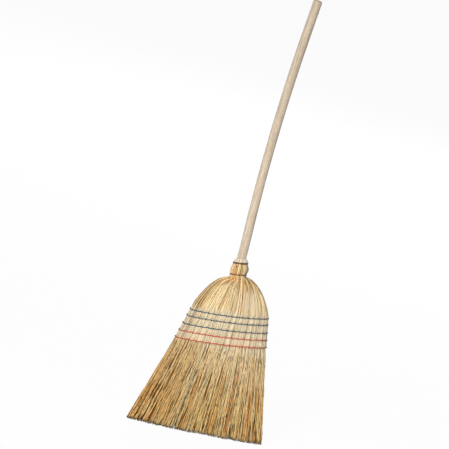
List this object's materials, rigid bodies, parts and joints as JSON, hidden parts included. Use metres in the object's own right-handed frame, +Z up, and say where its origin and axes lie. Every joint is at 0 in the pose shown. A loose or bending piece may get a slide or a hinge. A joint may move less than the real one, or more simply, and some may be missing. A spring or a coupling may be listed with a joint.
{
  "type": "straw broom",
  "caption": "Household straw broom: a round wooden handle wired into a flat, fan-shaped straw head, stitched with coloured twine and spreading into free bristles.",
  "frame": {"origin": "on the floor, in the middle of the trimmed bristle ends", "axes": "+Z up along the handle's chord, X across the sweep, front towards -Y"},
  "size_m": [0.383, 0.056, 1.202],
  "materials": {
    "handle_wood": "satin",
    "straw": "matte",
    "bristle_straw": "matte",
    "binding_wire": "satin",
    "nail_steel": "satin",
    "blue_twine": "matte",
    "red_twine": "matte"
  },
  "bodies": {
    "head": {"handle": "handle_wood", "core_straw": "straw", "front_cover_straw": "straw", "back_cover_straw": "straw", "left_shoulder_straw": "straw", "right_shoulder_straw": "straw", "inner_binding_wire": "binding_wire", "lower_neck_wire": "binding_wire", "upper_neck_wire": "binding_wire", "neck_nail": "nail_steel", "seam_1_blue": "blue_twine", "seam_2_blue": "blue_twine", "seam_3_blue": "blue_twine", "seam_4_red": "red_twine", "seam_5_red": "red_twine"},
    "bristles": {"core_bristles": "bristle_straw", "front_bristles": "bristle_straw", "back_bristles": "bristle_straw", "left_bristles": "bristle_straw", "right_bristles": "bristle_straw"}
  },
  "joints": [
    {"name": "bristle_flex", "type": "hinge", "parent": "head", "child": "bristles", "pos_m": [0, 0, 0.231], "axis": [1, 0, 0], "range_deg": [-20, 20], "stiffness_Nm_per_rad": 12, "deforming": ["core_bristles", "front_bristles", "back_bristles", "left_bristles", "right_bristles"]}
  ]
}
